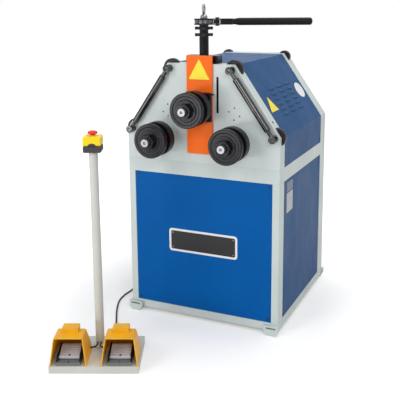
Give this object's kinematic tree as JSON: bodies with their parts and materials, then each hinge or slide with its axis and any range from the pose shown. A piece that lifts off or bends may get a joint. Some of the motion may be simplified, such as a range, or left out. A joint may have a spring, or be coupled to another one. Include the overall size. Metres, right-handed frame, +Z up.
{
  "type": "roll bender",
  "caption": "Floor-standing section roll bender with a ratchet-driven top roll, geared lower rolls and a separate stand with foot pedals and a stop button.",
  "frame": {"origin": "on the floor, under the middle of the bounding box of the machine and its stand", "axes": "+Z up, the machine's front with its rolls faces -Y, +X to the right as seen from the front"},
  "size_m": [0.9184, 1.4268, 1.4388],
  "materials": {
    "frame_paint": "light grey powder coat, satin",
    "face_paint": "light grey satin paint on a thick plate",
    "front_paint": "bright blue satin paint",
    "panel_paint": "blue satin paint on folded sheet",
    "orange_paint": "orange satin paint",
    "roll_steel": "turned and blackened steel with a sheen",
    "black_steel": "blackened steel, semi-gloss",
    "bright_steel": "ground bright steel",
    "gear_steel": "machined grey steel",
    "gearbox_paint": "grey paint",
    "rubber": "matt black rubber",
    "black_plastic": "black moulded plastic",
    "dark_plastic": "dark grey moulded plastic",
    "stand_paint": "pale grey powder coat",
    "hood_plastic": "yellow-orange moulded plastic",
    "pedal_grey": "grey moulded plastic",
    "stop_yellow": "yellow moulded plastic",
    "stop_red": "red moulded plastic",
    "cord_rubber": "black cable sheath"
  },
  "bodies": {
    "machine": {"machine_frame": "frame_paint", "face_plate": "face_paint", "buffer_front_top_left": "rubber", "buffer_front_top_right": "rubber", "buffer_front_shoulder_left": "rubber", "buffer_front_shoulder_right": "rubber", "buffer_rear_left": "rubber", "buffer_rear_right": "rubber", "hood": "panel_paint", "front_panel": "front_paint", "rear_panel": "panel_paint", "rear_head_panel": "panel_paint", "side_panel_left": "panel_paint", "side_panel_right": "panel_paint", "guide_rod_left": "black_steel", "guide_rod_right": "black_steel", "crosshead": "black_steel", "rear_bearing_plate": "gear_steel", "gearbox": "gearbox_paint", "motor": "gearbox_paint", "control_box": "gearbox_paint", "cable_gland": "black_plastic", "stand_base": "stand_paint", "stand_post": "stand_paint", "stand_grommet": "black_plastic", "pedal_hood_left": "hood_plastic", "pedal_hood_right": "hood_plastic", "pedal_base_left": "pedal_grey", "pedal_base_right": "pedal_grey", "stop_box_base": "dark_plastic", "stop_box_cover": "stop_yellow", "pedal_lead_left": "cord_rubber", "pedal_lead_right": "cord_rubber", "control_cable": "cord_rubber"},
    "lift_nut": {"lift_nut_tube": "black_steel", "thrust_collar": "black_steel", "ratchet_wheel": "gear_steel", "lifting_eye": "black_steel"},
    "handle": {"handle_fork": "black_steel", "handle_grip": "black_plastic"},
    "pawl": {"pawl": "bright_steel"},
    "top_slide": {"slide_cover": "orange_paint", "top_bearing_block": "black_steel", "slide_block": "gear_steel", "lift_screw": "bright_steel"},
    "top_roller": {"top_shaft": "bright_steel", "top_roll": "roll_steel", "top_roll_nut": "black_steel"},
    "left_roller": {"left_shaft": "bright_steel", "left_roll": "roll_steel", "left_roll_nut": "black_steel", "left_gear": "gear_steel"},
    "right_roller": {"right_shaft": "bright_steel", "right_roll": "roll_steel", "right_roll_nut": "black_steel", "right_gear": "gear_steel"},
    "pinion": {"drive_pinion": "gear_steel"},
    "left_tread": {"pedal_tread_left": "pedal_grey"},
    "right_tread": {"pedal_tread_right": "pedal_grey"},
    "stop": {"stop_button": "stop_red"}
  },
  "joints": [
    {"name": "lift_nut_turn", "type": "hinge", "parent": "machine", "child": "lift_nut", "pos_m": [0.01311, 0.00237, 1.3775], "axis": [0, 0, 1], "range_deg": [-4428, 4680]},
    {"name": "top_slide_lift", "type": "slide", "parent": "machine", "child": "top_slide", "axis": [0, 0, 1], "range_m": [-0.0781, 0.0739]},
    {"name": "top_roll_turn", "type": "hinge", "parent": "top_slide", "child": "top_roller", "pos_m": [0.01311, -0.14163, 1.001], "axis": [0, 1, 0], "continuous": true},
    {"name": "left_roll_turn", "type": "hinge", "parent": "machine", "child": "left_roller", "pos_m": [-0.16239, -0.14163, 0.859], "axis": [0, 1, 0], "continuous": true},
    {"name": "right_roll_turn", "type": "hinge", "parent": "machine", "child": "right_roller", "pos_m": [0.18861, -0.14163, 0.859], "axis": [0, 1, 0], "continuous": true},
    {"name": "pinion_turn", "type": "hinge", "parent": "machine", "child": "pinion", "pos_m": [0.01311, 0.27537, 0.774], "axis": [0, 1, 0], "continuous": true},
    {"name": "handle_swing", "type": "hinge", "parent": "lift_nut", "child": "handle", "pos_m": [0.01311, 0.00237, 1.3635], "axis": [0, 0, 1], "continuous": true},
    {"name": "pawl_tip", "type": "hinge", "parent": "handle", "child": "pawl", "pos_m": [0.06827, 0.0203, 1.3635], "axis": [0, 0, 1], "range_deg": [-30, 30]},
    {"name": "left_tread_press", "type": "hinge", "parent": "machine", "child": "left_tread", "pos_m": [-0.29723, -0.6477, 0.0503], "axis": [-0.9162, -0.4008, 0], "range_deg": [0, 9], "stiffness_Nm_per_rad": 4, "springref_deg": -8.59},
    {"name": "right_tread_press", "type": "hinge", "parent": "machine", "child": "right_tread", "pos_m": [-0.10942, -0.56553, 0.0503], "axis": [-0.9162, -0.4008, 0], "range_deg": [0, 9], "stiffness_Nm_per_rad": 4, "springref_deg": -8.59},
    {"name": "stop_press", "type": "slide", "parent": "machine", "child": "stop", "axis": [0, 0, -1], "range_m": [0, 0.005]}
  ],
  "couplings": [
    {"joint": "top_slide_lift", "follows": "lift_nut_turn", "m_per_rad": -0.00095493},
    {"joint": "right_roll_turn", "follows": "left_roll_turn", "ratio": 1},
    {"joint": "pinion_turn", "follows": "left_roll_turn", "ratio": -1.6}
  ]
}
